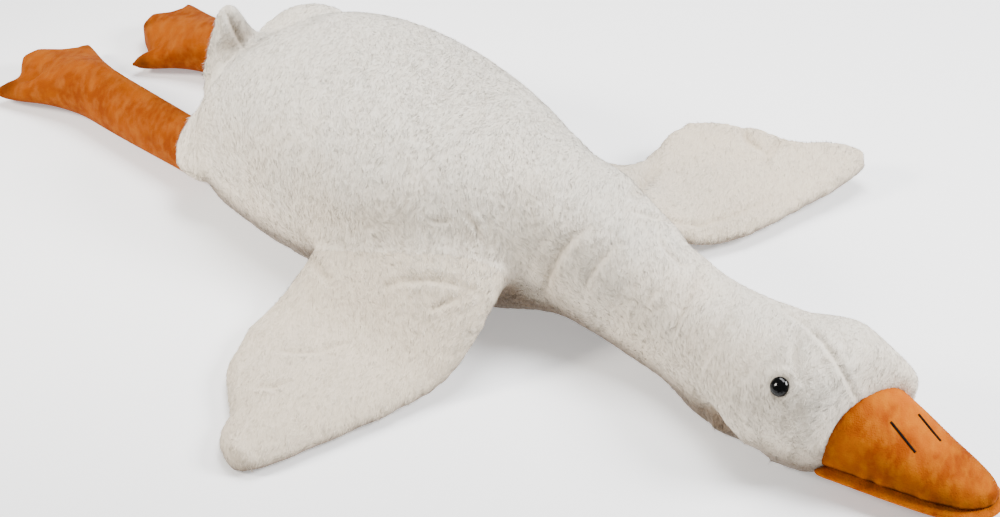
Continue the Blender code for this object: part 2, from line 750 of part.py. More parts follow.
def main():
    clear_scene()
    white_plush = make_material("white_plush", (0.82, 0.79, 0.74), 0.95)
    wing_plush = make_material("wing_plush", (0.80, 0.77, 0.71), 0.95)
    orange_velour = make_material("orange_velour", (0.55, 0.16, 0.02), 0.80)
    leg_velour = make_material("leg_velour", (0.52, 0.15, 0.02), 0.80)
    eye_black = make_material("eye_black", (0.006, 0.006, 0.007), 0.08)
    washer_white = make_material("washer_white", (0.75, 0.75, 0.72), 0.45)
    thread_black = make_material("thread_black", (0.012, 0.010, 0.010), 0.70)

    make_torso(white_plush)
    make_neck(white_plush)
    envelope = make_cover_envelope()
    head = make_head(white_plush)
    bill_upper = make_bill_upper(orange_velour)
    make_bill_lower(orange_velour)
    make_nostrils(bill_upper, thread_black)
    make_eyes(head, eye_black, washer_white)
    make_wings(envelope, wing_plush)
    tail = make_tail(envelope, white_plush)
    make_legs(envelope, leg_velour)
    trim_tail_over_legs(tail)


main()
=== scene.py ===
"""Looks of a large plush goose that lies on its belly: pile, seams, folds, velour and studio light."""

import math

import bpy
import numpy as np
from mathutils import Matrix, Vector
from mathutils.bvhtree import BVHTree
from mathutils.kdtree import KDTree


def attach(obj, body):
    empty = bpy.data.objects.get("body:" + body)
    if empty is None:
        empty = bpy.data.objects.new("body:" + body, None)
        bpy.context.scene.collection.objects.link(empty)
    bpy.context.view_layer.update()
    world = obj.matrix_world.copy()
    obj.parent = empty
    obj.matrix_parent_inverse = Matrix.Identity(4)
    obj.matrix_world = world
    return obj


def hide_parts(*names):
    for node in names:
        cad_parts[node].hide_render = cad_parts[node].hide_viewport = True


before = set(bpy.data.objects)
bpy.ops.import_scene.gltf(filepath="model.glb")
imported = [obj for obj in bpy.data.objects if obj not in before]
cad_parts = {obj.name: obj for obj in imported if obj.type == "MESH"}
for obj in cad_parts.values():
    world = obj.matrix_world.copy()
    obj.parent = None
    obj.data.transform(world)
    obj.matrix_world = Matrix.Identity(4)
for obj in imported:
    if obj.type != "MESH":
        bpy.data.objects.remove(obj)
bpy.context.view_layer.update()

# The photograph's camera
PHOTO_WIDTH = 1000
PHOTO_HEIGHT = 517
FOCAL_PIXELS = 2200
SENSOR_MM = 36.0
CAMERA_AZIMUTH = math.radians(-49)
CAMERA_ELEVATION = math.radians(36)
CAMERA_DISTANCE = 2.2149
CAMERA_TARGET = Vector((-0.0847, -0.1926, 0.0963))

# Mesh sizes, in metres
JOIN_OVERLAP = 0.0006
COVER_VOXEL = 0.0050
CLOTH_VOXEL = 0.010
VELOUR_VOXEL = 0.0030
BILL_VOXEL = 0.0019
FLOOR_CLEARANCE = 0.0003

# How far the covers blend into each other where they are sewn
JUNCTION_WIDTH = 0.024
JUNCTION_ROUNDS = 60

# The edge of each plush piece sinks under its neighbour
MARGIN_RINGS = 5
MARGIN_SINK = 0.0005

# Light of the studio
FLOOR_GLOW = 0.42
FLOOR_REACH = 40
WORLD_LIGHT = 0.22
COOL_LIGHT = (0.97, 0.98, 1.0)
WARM_LIGHT = (1.0, 0.95, 0.88)

# Plush colours: warm low down, cool on top, and painted shade in the valleys of the pile
BODY_COLOURS = ((0.79, 0.685, 0.545), (0.71, 0.665, 0.575), (0.46, 0.37, 0.26))
WING_COLOURS = ((0.67, 0.57, 0.435), (0.64, 0.56, 0.445), (0.42, 0.33, 0.22))
# Painted shade where other cloth or the floor is close by
PAINTED_SHADE_COLOUR = (0.17, 0.12, 0.078)
COOL_FROM = 0.03
COOL_TO = 0.16

# Velour colours: lit, deep, brushed pale with a painted sheen, and painted shade low down
BILL_COLOURS = ((0.41, 0.092, 0.0), (0.27, 0.047, 0.0), (0.50, 0.145, 0.0), (0.14, 0.023, 0.0))
LEG_COLOURS = ((0.27, 0.057, 0.0), (0.19, 0.032, 0.0), (0.31, 0.090, 0.010), (0.17, 0.028, 0.0))

# Painted shade darkens the bill and the feet between these heights towards the floor
PAINTED_LOW_SHADE_FROM = 0.008
PAINTED_LOW_SHADE_TO = 0.022

# Stuffing: how far the cloth may move from the plain shape. It is held where it lies on the floor.
CLOTH_FRAMES = 14
CLOTH_REACH = 0.004
CLOTH_HELD_BELOW = 0.008
CLOTH_HELD_ABOVE = 0.05

# The pile is combed this way, turned from the frame's X axis, and adds to the cover's thickness
COMB_TURN = math.radians(28)
PILE_THICKNESS = 0.0016

# Pile tufts: grain along the comb, across it and upright
TUFT_GRAIN = np.array((0.017, 0.0075, 0.012))
TUFT_DEPTH = 0.0019
TUFT_WARP = 0.006
TUFT_WARP_GRAIN = 0.035
TUFT_SHARPNESS = 2.4

# Pile fibres: thin closed spikes that lean along the comb, in clumps, and drift over wider areas
FIBRES = 129000
FIBRES_A_PIECE = 43000
FIBRE_LENGTH = 0.0060
FIBRE_RADIUS = 0.00034
FIBRE_RISE = math.radians(13)
FIBRE_SHADING = 0.42
FIBRE_ROOT_DEPTH = 0.0004
FIBRE_SEED = 5
CLUMP_GRAIN = 0.011
DRIFT_GRAIN = 0.07
SPIKE_FACES = ((0, 2, 1), (0, 1, 3), (1, 2, 3), (2, 0, 3))

# Each leg is slimmer from this place forwards, so that its root stays inside the rump
LEG_ROOT_SHRINK = 0.75
LEG_ROOT_END = 0.240
LEG_ROOT_FADE = 0.030
LEG_AXIS_X = 0.097
LEG_AXIS_Z = 0.048

# Webs drawn in between the toes, and toe tips: (pixel, depth or darkness, reach)
WEB_NOTCHES = (((27, 72), 0.010, 0.016), ((148, 44), 0.006, 0.014))
TOE_TIPS = (
    ((6, 86), 0.30, 0.012),
    ((86, 47), 0.16, 0.008),
    ((146, 24), 0.22, 0.009),
    ((142, 62), 0.30, 0.011),
)

# A fringe of pile lies over the seam of the bill. Only fibres in front of this place can be near it.
FRINGE_BEHIND = -0.53
FRINGE_WIDTH = 0.010

# Bill: its halves meet at this height in a dark line of painted shade, with a puckered groove over it
BILL_PARTING = 0.029
BILL_GROOVE = 0.0018
BILL_GROOVE_RISE = 0.0025
BILL_GROOVE_WIDTH = 0.0026
BILL_LINE_RISE = 0.001
BILL_LINE_WIDTH = 0.0014
BILL_PUCKER = 0.0010
BILL_PUCKER_GRAIN = (0.008, 0.008, 0.030)
BILL_PUCKER_WIDTH = 0.012

# The lower bill is rolled out, and painted shade darkens the sides of the upper one towards it from this
# height
BILL_RIM_MIDDLE = 0.0245
BILL_RIM_ROLL = 0.0062
BILL_RIM_WIDTH = 0.006
BILL_SHADE = 0.50
BILL_SHADE_TO = 0.075

# Painted shade: how far away other cloth or the floor darkens the pile, and how many directions are tried
SHADE_REACH = 0.085
SHADE_START = 0.003
SHADE_RAYS = 16
FLOOR_SHADE = 0.55

# Which shares of blocked directions show as painted shade, and how much of it pile that faces down or is on
# the tail gets
SHADE_FROM = 0.08
SHADE_TO = 0.42
SHADE_BELOW = 0.13
TAIL_LIFT = 0.8

# How fast the share of a CAD node falls away from its surface
SHARE_FADE = 0.004

# A crease this deep gets its darkest painted shade
DARKEST_CREASE = 0.003

# Plush pressed in under each eye and swollen round it
WASHER_TO_SURFACE = 0.0115
EYE_SWELL = 0.0024
EYE_SWELL_RADIUS = 0.0145
EYE_SWELL_WIDTH = 0.0055


# Camera


def camera_axes():
    """Place, forward, right and up of the photograph's camera."""
    back = Vector((
        math.sin(CAMERA_AZIMUTH) * math.cos(CAMERA_ELEVATION),
        -math.cos(CAMERA_AZIMUTH) * math.cos(CAMERA_ELEVATION),
        math.sin(CAMERA_ELEVATION),
    ))
    forward = -back
    right = forward.cross(Vector((0, 0, 1))).normalized()
    up = right.cross(forward)
    return CAMERA_TARGET + back * CAMERA_DISTANCE, forward, right, up


def make_camera():
    place, forward, _, _ = camera_axes()
    data = bpy.data.cameras.new("camera")
    data.sensor_width = SENSOR_MM
    data.lens = SENSOR_MM * FOCAL_PIXELS / PHOTO_WIDTH
    data.clip_start = 0.05
    data.clip_end = 50
    camera = bpy.data.objects.new("camera", data)
    camera.location = place
    camera.rotation_mode = "QUATERNION"
    camera.rotation_quaternion = forward.to_track_quat("-Z", "Y")
    bpy.context.collection.objects.link(camera)
    bpy.context.scene.camera = camera


def pixel_ray(u, v):
    """Start and direction of the ray through a pixel of the photograph."""
    place, forward, right, up = camera_axes()
    across = (u - PHOTO_WIDTH / 2) / FOCAL_PIXELS
    down = (v - PHOTO_HEIGHT / 2) / FOCAL_PIXELS
    ray = forward + right * across - up * down
    return place, ray.normalized()


# Mesh tools


def read_mesh(obj):
    """Points and faces of an object with its modifiers applied. Faces are a list of index tuples."""
    evaluated = obj.evaluated_get(bpy.context.evaluated_depsgraph_get())
    mesh = evaluated.to_mesh()
    points = np.zeros(len(mesh.vertices) * 3)
    mesh.vertices.foreach_get("co", points)
    faces = [tuple(face.vertices) for face in mesh.polygons]
    evaluated.to_mesh_clear()
    return points.reshape(-1, 3), faces


def new_object(name, points, faces, material=None):
    mesh = bpy.data.meshes.new(name)
    mesh.from_pydata(np.asarray(points).tolist(), [], faces)
    mesh.update()
    mesh.shade_smooth()
    obj = bpy.data.objects.new(name, mesh)
    bpy.context.collection.objects.link(obj)
    if material:
        mesh.materials.append(material)
    return obj


def discard(obj):
    mesh = obj.data
    bpy.data.objects.remove(obj, do_unlink=True)
    bpy.data.meshes.remove(mesh)


def point_normals(points, quads):
    """Area-weighted normals of the points of a mesh of quads."""
    across = points[quads[:, 2]] - points[quads[:, 0]]
    along = points[quads[:, 3]] - points[quads[:, 1]]
    face_normals = np.cross(across, along)
    normals = np.zeros_like(points)
    for corner in range(4):
        for axis in range(3):
            normals[:, axis] += np.bincount(quads[:, corner], face_normals[:, axis], len(points))
    return normals / np.maximum(np.linalg.norm(normals, axis=1, keepdims=True), 1e-12)


def quad_edges(quads):
    pairs = np.concatenate([quads[:, [i, (i + 1) % 4]] for i in range(4)])
    return np.unique(np.sort(pairs, axis=1), axis=0)


def relax(points, edges, weights, rounds):
    """Moves each point towards the mean of its neighbours, by its weight, so many times."""
    count = np.bincount(edges.ravel(), minlength=len(points))
    for _ in range(rounds):
        total = np.zeros_like(points)
        for axis in range(3):
            ends = points[:, axis]
            total[:, axis] = np.bincount(edges[:, 0], ends[edges[:, 1]], len(points))
            total[:, axis] += np.bincount(edges[:, 1], ends[edges[:, 0]], len(points))
        points = points + weights[:, None] * (total / count[:, None] - points)
    return points


def soften(points, edges, rounds):
    """Relaxes all points alike."""
    return relax(points, edges, np.full(len(points), 0.5), rounds)


def solid_copy(nodes, voxel):
    """Joins copies of CAD nodes into one closed mesh of even quads."""
    points, faces = [], []
    for node in nodes:
        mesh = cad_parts[node].data
        start = len(points)
        points += [v.co + v.normal * JOIN_OVERLAP for v in mesh.vertices]
        faces += [tuple(start + i for i in face.vertices) for face in mesh.polygons]
    rough = new_object("rough", points, faces)
    modifier = rough.modifiers.new("even", "REMESH")
    modifier.mode = "VOXEL"
    modifier.voxel_size = voxel
    result = read_mesh(rough)
    discard(rough)
    return result


def smooth_step(t):
    t = np.clip(t, 0.0, 1.0)
    return t * t * (3 - 2 * t)


# Noise


def lattice_value(cells, seed):
    """A repeatable value from -1 to 1 for each whole-numbered cell."""
    mixed = cells[:, 0] * 374761393 + cells[:, 1] * 668265263 + cells[:, 2] * 2147483647 + seed * 1274126177
    mixed = (mixed ^ (mixed >> 13)) * 1274126177
    mixed = mixed ^ (mixed >> 16)
    return (mixed & 0xFFFF) / 32767.5 - 1.0


def value_noise(points, size, seed):
    """Smooth noise from -1 to 1. Size is the grain in metres, or one for each axis."""
    scaled = points / np.asarray(size)
    cell = np.floor(scaled).astype(np.int64)
    part = smooth_step(scaled - cell)
    total = np.zeros(len(points))
    for corner in range(8):
        offset = np.array([(corner >> axis) & 1 for axis in range(3)])
        weight = np.prod(np.where(offset, part, 1 - part), axis=1)
        total += weight * lattice_value(cell + offset, seed)
    return total


def noise_vectors(points, size, seeds):
    return np.stack([value_noise(points, size, seed) for seed in seeds], axis=1)


def along_comb(points):
    """Turns points so that X runs along the comb."""
    c, s = math.cos(COMB_TURN), math.sin(COMB_TURN)
    return points @ np.array(((c, -s, 0.0), (s, c, 0.0), (0.0, 0.0, 1.0)))


# Creases, seams and hollows of the plush, as lines of pixels of the photograph: (pixels, depth, half width).
# A negative depth is a swelling.


CREASES = {
    "neck_base_low": (((545, 296), (549, 278), (557, 258), (572, 238), (590, 226)), 0.0035, 0.0050),
    "neck_base_front": (((584, 289), (592, 272), (603, 257), (616, 241)), 0.0026, 0.0045),
    "neck_fold_a": (((703, 262), (694, 285), (681, 316), (672, 344)), 0.0028, 0.0050),
    "neck_fold_b": (((658, 238), (668, 252), (683, 268)), 0.0024, 0.0040),
    "neck_fold_c": (((640, 318), (652, 296), (666, 280)), 0.0018, 0.0050),
    "nape_fold": (((735, 300), (722, 326), (708, 356), (700, 384)), 0.0020, 0.0070),
    "hook_front": (((468, 216), (476, 226), (481, 238)), 0.0022, 0.0030),
    "hook_rear": (((430, 219), (441, 222), (453, 220)), 0.0014, 0.0025),
    "shoulder": (((384, 287), (405, 281), (430, 280), (452, 284), (471, 289)), 0.0022, 0.0045),
    "shoulder_low": (((430, 310), (450, 302), (462, 295), (472, 289)), 0.0026, 0.0040),
    "wing_upper": (((276, 351), (295, 353), (320, 352), (347, 343)), 0.0020, 0.0040),
    "wing_lower": (((257, 388), (272, 388), (288, 382)), 0.0020, 0.0035),
    "tail_fold": (((226, 8), (231, 22), (237, 36), (244, 47)), 0.0040, 0.0035),
    "tail_root": (((244, 47), (234, 54), (226, 63)), 0.0022, 0.0045),
    "armpit_rear": (((316, 262), (323, 272), (330, 284)), 0.0020, 0.0050),
    "crown_seam": (((806, 327), (822, 341), (836, 360), (848, 382), (858, 401)), 0.0026, 0.0028),
    "crown_ridge_shade": (((797, 333), (795, 350), (794, 368)), 0.0014, 0.0040),
    "cheek_arc": (((798, 328), (778, 344), (758, 362), (744, 384), (743, 410), (750, 440)), 0.0016, 0.0045),
    "jaw_hollow": (((690, 392), (702, 412), (718, 432), (742, 450), (770, 461)), 0.0130, 0.0220),
    "throat_hollow": (((672, 384), (685, 401), (698, 416), (712, 429)), 0.0090, 0.0200),
    "far_cheek": (((900, 370), (908, 382), (911, 394)), -0.0075, 0.0150),
    "crown_back": (((782, 310), (795, 319), (806, 327)), 0.0016, 0.0030),
    "far_wing_band": (((632, 212), (660, 219), (700, 226), (738, 214), (772, 198)), 0.0030, 0.0045),
    "far_wing_lobe_a": (((742, 128), (748, 142), (762, 152)), 0.0035, 0.0050),
    "far_wing_lobe_b": (((762, 166), (770, 154), (780, 142), (800, 137)), 0.0035, 0.0050),
    "far_wing_root": (((632, 196), (646, 182), (658, 166)), 0.0050, 0.0080),
}


def through_pixels(pixels, step=2.0):
    """Evenly spaced pixels along a line of pixels."""
    spaced = []
    for (u0, v0), (u1, v1) in zip(pixels, pixels[1:]):
        count = max(int(math.hypot(u1 - u0, v1 - v0) / step), 1)
        spaced += [(u0 + (u1 - u0) * i / count, v0 + (v1 - v0) * i / count) for i in range(count)]
    return spaced + [pixels[-1]]


def lay_on(tree, pixels):
    """Points where a line of pixels meets the surface, as the photograph's camera sees it."""
    hits = [tree.ray_cast(*pixel_ray(u, v))[0] for u, v in through_pixels(pixels)]
    return np.array([hit for hit in hits if hit is not None])


def crease_profile(distance, width):
    """A valley of depth 1 with a low swelling on both sides."""
    valley = np.exp(-(distance / width) ** 2)
    swelling = np.exp(-((distance - 2.4 * width) / (1.3 * width)) ** 2)
    return valley - 0.25 * swelling


def crease_depths(points, tree):
    """How far every crease together presses each point in, in metres."""
    total = np.zeros(len(points))
    for pixels, depth, width in CREASES.values():
        line = lay_on(tree, pixels)
        if len(line) < 2:
            continue
        reach = 5 * width
        low, high = line.min(axis=0) - reach, line.max(axis=0) + reach
        near = np.flatnonzero(((points > low) & (points < high)).all(axis=1))
        gaps = np.linalg.norm(points[near, None] - line[None], axis=2)
        nearest = gaps.argmin(axis=1)
        taper = np.sqrt(np.sin(np.pi * (nearest + 1) / (len(line) + 1)))
        total[near] += depth * taper * crease_profile(gaps.min(axis=1), width)
    return total


# Pile


def tuft_height(points):
    """Tufts of the pile: 1 on a ridge and 0 in the thin curved valleys between them."""
    points = along_comb(points)
    warp = TUFT_WARP * noise_vectors(points, TUFT_WARP_GRAIN, (11, 12, 13))
    broad = np.abs(value_noise(points + warp, TUFT_GRAIN, 21))
    fine = np.abs(value_noise(points - warp, TUFT_GRAIN * 0.6, 22))
    return 0.65 * np.clip(broad * TUFT_SHARPNESS, 0, 1) + 0.35 * np.clip(fine * TUFT_SHARPNESS, 0, 1)


def tuft_strength(points):
    """The tufts stand out on the middle of the back and are faint elsewhere."""
    back = np.exp(-((points[:, 0] - 0.03) / 0.15) ** 2 - ((points[:, 1] + 0.06) / 0.22) ** 2)
    patches = 0.5 + 0.5 * value_noise(points, 0.05, 31)
    return (0.3 + 0.7 * back) * (0.6 + 0.4 * patches)


# Stuffing: a coarse cloth over the whole cover is blown up a little and sags under its own weight


def cloth_settings(cloth):
    cloth.quality = 5
    cloth.mass = 0.25
    cloth.tension_stiffness = 12
    cloth.compression_stiffness = 12
    cloth.shear_stiffness = 4
    cloth.bending_stiffness = 0.6
    cloth.use_pressure = True
    cloth.uniform_pressure_force = 2.0
    cloth.shrink_min = -0.035
    cloth.vertex_group_mass = "held"
    cloth.pin_stiffness = 1.0


def blow_up(nodes):
    """Points of a coarse cloth before and after it is filled."""
    points, faces = solid_copy(nodes, CLOTH_VOXEL)
    cloth_object = new_object("cloth", points, faces)
    held = cloth_object.vertex_groups.new(name="held")
    on_floor = points[:, 2] < CLOTH_HELD_BELOW
    held.add(np.flatnonzero(on_floor).tolist(), 1.0, "REPLACE")
    held.add(np.flatnonzero(~on_floor).tolist(), CLOTH_HELD_ABOVE, "REPLACE")
    modifier = cloth_object.modifiers.new("cloth", "CLOTH")
    cloth_settings(modifier.settings)
    modifier.collision_settings.use_collision = False
    modifier.point_cache.frame_end = CLOTH_FRAMES
    for number in range(1, CLOTH_FRAMES + 1):
        bpy.context.scene.frame_set(number)
    filled, _ = read_mesh(cloth_object)
    bpy.context.scene.frame_set(1)
    discard(cloth_object)
    return points, filled


def cloth_shift(points, nodes):
    """How far the filled cloth moves each point."""
    before, after = blow_up(nodes)
    moved = after - before
    length = np.maximum(np.linalg.norm(moved, axis=1, keepdims=True), 1e-9)
    moved *= CLOTH_REACH * np.tanh(length / CLOTH_REACH) / length
    tree = KDTree(len(before))
    for i, place in enumerate(before):
        tree.insert(place, i)
    tree.balance()
    shift = np.zeros_like(points)
    for row, place in enumerate(points):
        found = tree.find_n(place, 4)
        weights = np.array([1 / (gap + 0.002) for _, _, gap in found])
        shift[row] = weights @ moved[[index for _, index, _ in found]] / weights.sum()
    return shift


# Plush cover


COVER_NODES = ("torso", "neck", "head", "tail", "wing_right", "wing_left")
COVER_PIECES = {
    "plush_body": ("torso", "tail"),
    "plush_neck": ("neck",),
    "plush_head": ("head",),
    "plush_wing_right": ("wing_right",),
    "plush_wing_left": ("wing_left",),
}
COVER_SLOTS = {"plush_wing_right": "wing_plush", "plush_wing_left": "wing_plush"}


def node_distances(points, nodes):
    """How far each point is from the surface of each CAD node, one column for each."""
    columns = []
    for node in nodes:
        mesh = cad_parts[node].data
        tree = BVHTree.FromPolygons([v.co for v in mesh.vertices], [face.vertices for face in mesh.polygons])
        columns.append([tree.find_nearest(place)[3] for place in points.tolist()])
    return np.array(columns).T


def refine(points, quads, values):
    """Splits each quad into four. The values, one row for each point, are carried along."""
    pairs = np.stack([quads, np.roll(quads, -1, axis=1)], axis=2).reshape(-1, 2)
    edges, edge_of = np.unique(np.sort(pairs, axis=1), axis=0, return_inverse=True)
    middle = edge_of.reshape(-1, 4) + len(points)
    centre = np.arange(len(quads)) + len(points) + len(edges)
    corners = (quads, middle, np.repeat(centre[:, None], 4, axis=1), np.roll(middle, 1, axis=1))
    finer = np.stack(corners, axis=2).reshape(-1, 4)
    rows = np.concatenate([points, values], axis=1)
    rows = np.concatenate([rows, rows[edges].mean(axis=1), rows[quads].mean(axis=1)])
    return rows[:, :3], finer, rows[:, 3:]


def fill_hollows(points, quads, edges, weights):
    """Rounds the hollow corners between sewn covers and leaves their outer edges as they are."""
    rounded = relax(points, edges, 0.5 * weights, JUNCTION_ROUNDS)
    moved = rounded - points
    outward = (moved * point_normals(points, quads)).sum(axis=1)
    share = smooth_step(outward / 0.003 + 0.4)
    return points + moved * share[:, None]


def eye_places():
    """Where each eye sits on the head."""
    places = []
    for side in ("right", "left"):
        eye, washer = (np.mean([v.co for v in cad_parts[part + side].data.vertices], axis=0)
                       for part in ("eye_", "eye_washer_"))
        axis = (eye - washer) / np.linalg.norm(eye - washer)
        places.append(washer + WASHER_TO_SURFACE * axis)
    return places


def eye_swell(points):
    """The plush is pressed in under an eye and swells round it."""
    total = np.zeros(len(points))
    for place in eye_places():
        gap = np.linalg.norm(points - place, axis=1)
        total += EYE_SWELL * np.exp(-((gap - EYE_SWELL_RADIUS) / EYE_SWELL_WIDTH) ** 2)
        total -= EYE_SWELL * np.exp(-(gap / EYE_SWELL_WIDTH) ** 2)
    return total


def painted_shade_share(points, normals, tree):
    """The share of directions over each point that meet other cloth or the floor close by, painted on the
    pile as shade.

    Pile that faces down gets a little more painted shade.
    """
    steps = np.arange(SHADE_RAYS) + 0.5
    rise = np.sqrt(1 - steps / SHADE_RAYS)
    turn = steps * math.pi * (3 - math.sqrt(5))
    flat = np.sqrt(1 - rise ** 2)
    side = unit(np.cross(normals, (0.31, 0.17, 0.94)))
    other = np.cross(normals, side)
    painted_shade = np.zeros(len(points))
    starts = points + SHADE_START * normals
    for r, f, t in zip(rise, flat, turn):
        rays = normals * r + side * (f * math.cos(t)) + other * (f * math.sin(t))
        on_floor = (rays[:, 2] < 0) & (starts[:, 2] < -rays[:, 2] * SHADE_REACH)
        pairs = zip(starts.tolist(), rays.tolist())
        hits = [tree.ray_cast(start, ray, SHADE_REACH)[0] is not None for start, ray in pairs]
        painted_shade += np.where(hits, 1.0, FLOOR_SHADE * on_floor)
    # Pile that faces down gets more painted shade
    return painted_shade / SHADE_RAYS + SHADE_BELOW * smooth_step(0.1 - 2.0 * normals[:, 2])


def join_covers():
    """The coarse stuffed cover: points, quads, a tree of them, and the values that refine carries along.

    The values are the share of each CAD node and the share of blocked directions, painted as shade.
    """
    points, faces = solid_copy(COVER_NODES, COVER_VOXEL)
    quads = np.array(faces)
    edges = quad_edges(quads)
    gaps = node_distances(points, COVER_NODES)
    second = np.sort(gaps, axis=1)[:, 1]
    junction = np.exp(-(second / JUNCTION_WIDTH) ** 2)
    points = fill_hollows(points, quads, edges, junction)
    points = soften(points, edges, 4)
    points += cloth_shift(points, COVER_NODES)
    tree = BVHTree.FromPolygons(points.tolist(), quads.tolist())
    share = soften(np.exp(-gaps / SHARE_FADE), edges, 4)
    painted_shade = painted_shade_share(points, point_normals(points, quads), tree)
    # The tail gets less painted shade
    painted_shade = painted_shade * (1 - TAIL_LIFT * share[:, COVER_NODES.index("tail")])
    painted_shade = soften(np.repeat(painted_shade[:, None], 3, axis=1), edges, 3)
    return points, quads, tree, np.concatenate([share, painted_shade[:, :1]], axis=1)


def shape_cover():
    """The fine cover: points, quads, shares of the nodes, painted shade by how deep each point lies in a
    crease or between tufts, and painted shade by how blocked it is.
    """
    points, quads, tree, values = join_covers()
    points, quads, values = refine(points, quads, values)
    share, painted_shade = values[:, :-1], values[:, -1]
    points = soften(points, quad_edges(quads), 4)
    pressed = crease_depths(points, tree)
    tufts = TUFT_DEPTH * tuft_strength(points) * (1 - tuft_height(points))
    raised = PILE_THICKNESS + eye_swell(points) - pressed - tufts
    points += raised[:, None] * point_normals(points, quads)
    points[:, 2] = np.maximum(points[:, 2], FLOOR_CLEARANCE)
    # Painted shade in the creases and in the valleys between tufts
    painted_shade_and_toe_tint = np.clip(pressed / DARKEST_CREASE, 0, 1) * 0.6 + tufts / TUFT_DEPTH * 0.4
    return points, quads, share, painted_shade_and_toe_tint, painted_shade


def rings_from(quads, inside, rings):
    """How many rings of quads each point lies outside a region, up to rings + 1."""
    depth = np.where(inside, 0, rings + 1)
    for number in range(1, rings + 1):
        reached = quads[(depth[quads] < number).any(axis=1)]
        depth[reached] = np.minimum(depth[reached], number)
    return depth


def open_edges(quads):
    """Directed edges that only one quad uses."""
    pairs = np.stack([quads, np.roll(quads, -1, axis=1)], axis=2).reshape(-1, 2)
    _, index, count = np.unique(np.sort(pairs, axis=1), axis=0, return_index=True, return_counts=True)
    return pairs[index[count == 1]]


def without_pinches(all_quads, keep):
    """Adds the quads round each point where the edge of a region would touch itself."""
    while True:
        rim = open_edges(all_quads[keep]).ravel()
        touched = np.flatnonzero(np.bincount(rim, minlength=all_quads.max() + 1) > 2)
        if not len(touched):
            return keep
        keep = keep | np.isin(all_quads, touched).any(axis=1)


def rim_loops(rim):
    """Sorts directed open edges into closed loops of points."""
    following = dict(rim.tolist())
    loops = []
    while following:
        start, point = following.popitem()
        loop = [start]
        while point != start:
            loop.append(point)
            point = following.pop(point)
        loops.append(loop)
    return loops


def cut_region(points, normals, quads, inside):
    """A region of the cover as a closed mesh whose margin sinks under its neighbours."""
    depth = rings_from(quads, inside, MARGIN_RINGS)
    keep = without_pinches(quads, (depth[quads] <= MARGIN_RINGS).all(axis=1))
    sunk = points - normals * (MARGIN_SINK * depth)[:, None]
    kept = quads[keep]
    used, renumbered = np.unique(kept, return_inverse=True)
    faces = renumbered.reshape(-1, 4)
    places = sunk[used].tolist()
    turned = normals[used].tolist()
    closing = []
    for loop in rim_loops(open_edges(faces)):
        centre = len(places)
        places.append(np.mean([places[i] for i in loop], axis=0).tolist())
        turned.append([0.0, 0.0, 1.0])
        closing += [(b, a, centre) for a, b in zip(loop, loop[1:] + loop[:1])]
    return places, faces.tolist() + closing, turned, used


def carry_value(obj, name, values):
    attribute = obj.data.attributes.new(name, "FLOAT", "POINT")
    attribute.data.foreach_set("value", np.asarray(values, dtype=np.float32))


def make_cover(materials):
    points, quads, share, painted_shade_and_toe_tint, painted_shade = shape_cover()
    normals = point_normals(points, quads)
    columns = [[COVER_NODES.index(node) for node in nodes] for nodes in COVER_PIECES.values()]
    owner = np.argmax([share[:, column].max(axis=1) for column in columns], axis=0)
    for number, (name, nodes) in enumerate(COVER_PIECES.items()):
        places, faces, turned, used = cut_region(points, normals, quads, owner == number)
        slot = COVER_SLOTS.get(name, "white_plush")
        piece = new_object(name, places, faces, materials[slot])
        piece.data.normals_split_custom_set_from_vertices(turned)
        unused = np.zeros(len(places) - len(used))
        # Painted shade carried to the shader: from creases and tufts, and from blocked directions
        carry_value(piece, "painted_shade_and_toe_tint", np.concatenate([painted_shade_and_toe_tint[used], unused]))
        carry_value(piece, "painted_shade", np.concatenate([painted_shade[used], unused]))
        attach(piece, "root")
        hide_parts(*nodes)
    make_pile(points, normals, quads, (painted_shade_and_toe_tint, painted_shade), materials["white_plush"])


# Pile fibres


def scatter(points, normals, quads, count, seed):
    """Random places on the part of the cover that isn't pressed on the floor.

    Their normals, the cover's point nearest to each and the random generator come with them.
    """
    rng = np.random.default_rng(seed)
    across = points[quads[:, 2]] - points[quads[:, 0]]
    along = points[quads[:, 3]] - points[quads[:, 1]]
    area = np.linalg.norm(np.cross(across, along), axis=1)
    middle = points[quads].mean(axis=1)
    facing = normals[quads].mean(axis=1)[:, 2]
    chance = area * smooth_step((facing + 0.75) / 0.5) * smooth_step((middle[:, 2] - 0.004) / 0.012)
    face = rng.choice(len(quads), count, p=chance / chance.sum())
    u, v = rng.random(count)[:, None], rng.random(count)[:, None]
    corners = points[quads[face]]
    first_side = (1 - v) * corners[:, 0] + v * corners[:, 3]
    second_side = (1 - v) * corners[:, 1] + v * corners[:, 2]
    place = (1 - u) * first_side + u * second_side
    return place, normals[quads[face]].mean(axis=1), quads[face, 0], rng


def unit(rows):
    return rows / np.maximum(np.linalg.norm(rows, axis=1, keepdims=True), 1e-9)


def fibre_lean(place, normal, rng):
    """Which way each fibre lies on the cloth: along the comb, in clumps, and towards the bill beside it."""
    comb = np.array((-math.cos(COMB_TURN), -math.sin(COMB_TURN), -0.25))
    clump = noise_vectors(place, CLUMP_GRAIN, (41, 42, 43))
    drift = noise_vectors(place, DRIFT_GRAIN, (51, 52, 53))
    wild = rng.normal(0.0, 0.12, (FIBRES, 3))
    to_bill = np.zeros(FIBRES)
    close = place[:, 1] < FRINGE_BEHIND
    to_bill[close] = np.exp(-(node_distances(place[close], ("bill_upper",))[:, 0] / FRINGE_WIDTH) ** 2)
    comb = comb + 3.0 * to_bill[:, None] * np.array((0.0, -1.0, -0.3))
    lean = comb + 0.6 * clump + 0.6 * drift + wild
    return unit(lean - (lean * normal).sum(axis=1, keepdims=True) * normal)


